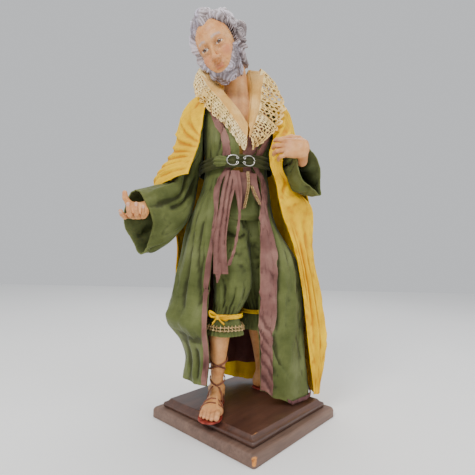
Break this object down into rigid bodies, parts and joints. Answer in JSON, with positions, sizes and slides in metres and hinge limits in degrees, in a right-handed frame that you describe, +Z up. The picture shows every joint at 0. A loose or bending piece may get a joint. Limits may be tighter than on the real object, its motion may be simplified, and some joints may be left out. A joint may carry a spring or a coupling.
{
  "type": "dressed nativity figure",
  "caption": "Bearded old man in a long green robe, mauve sash, lace collar and yellow cloak, standing on a square two-step wooden plinth with one hand held out.",
  "frame": {"origin": "centre of the plinth's underside", "axes": "+Z up, -Y the way the figure faces, with one corner of the plinth forward, +X to the figure's left"},
  "size_m": [0.2104, 0.1838, 0.413],
  "materials": {
    "plinth_top_wood": "dark stained, satin varnish",
    "plinth_edge_wood": "grey-brown stained, worn at the corners",
    "painted_skin": "oil-painted terracotta, soft sheen",
    "linen_cream": "aged linen",
    "lace_cream": "cotton lace with gold thread",
    "silk_green": "dull olive silk",
    "silk_mauve": "dull mauve silk",
    "silk_yellow": "bright yellow silk",
    "gold_braid": "old gold braid",
    "ribbon_yellow": "silk ribbon",
    "leather_brown": "thin brown leather",
    "silver_wire": "polished silver wire"
  },
  "bodies": {
    "root": {"plinth_lower_board": "plinth_edge_wood", "plinth_upper_board": "plinth_top_wood", "head_and_chest": "painted_skin", "right_hand": "painted_skin", "left_hand": "painted_skin", "right_leg": "painted_skin", "left_leg": "painted_skin", "right_sandal_sole": "leather_brown", "left_sandal_sole": "leather_brown", "right_sandal_laces": "leather_brown", "shirt": "linen_cream", "waistcoat": "silk_mauve", "waistcoat_right_braid": "gold_braid", "waistcoat_left_braid": "gold_braid", "breeches": "silk_green", "right_garter": "ribbon_yellow", "left_garter": "ribbon_yellow", "right_cuff_braid": "gold_braid", "coat": "silk_green", "coat_right_facing": "silk_mauve", "coat_left_facing": "silk_mauve", "coat_hem_binding": "silk_mauve", "belt": "silk_green", "right_clasp_hook": "silver_wire", "left_clasp_hook": "silver_wire", "sash_end": "silk_mauve", "collar": "linen_cream", "lace_collar": "lace_cream", "coat_right_sleeve": "silk_green", "coat_left_sleeve": "silk_green", "cloak": "silk_yellow"}
  },
  "joints": []
}
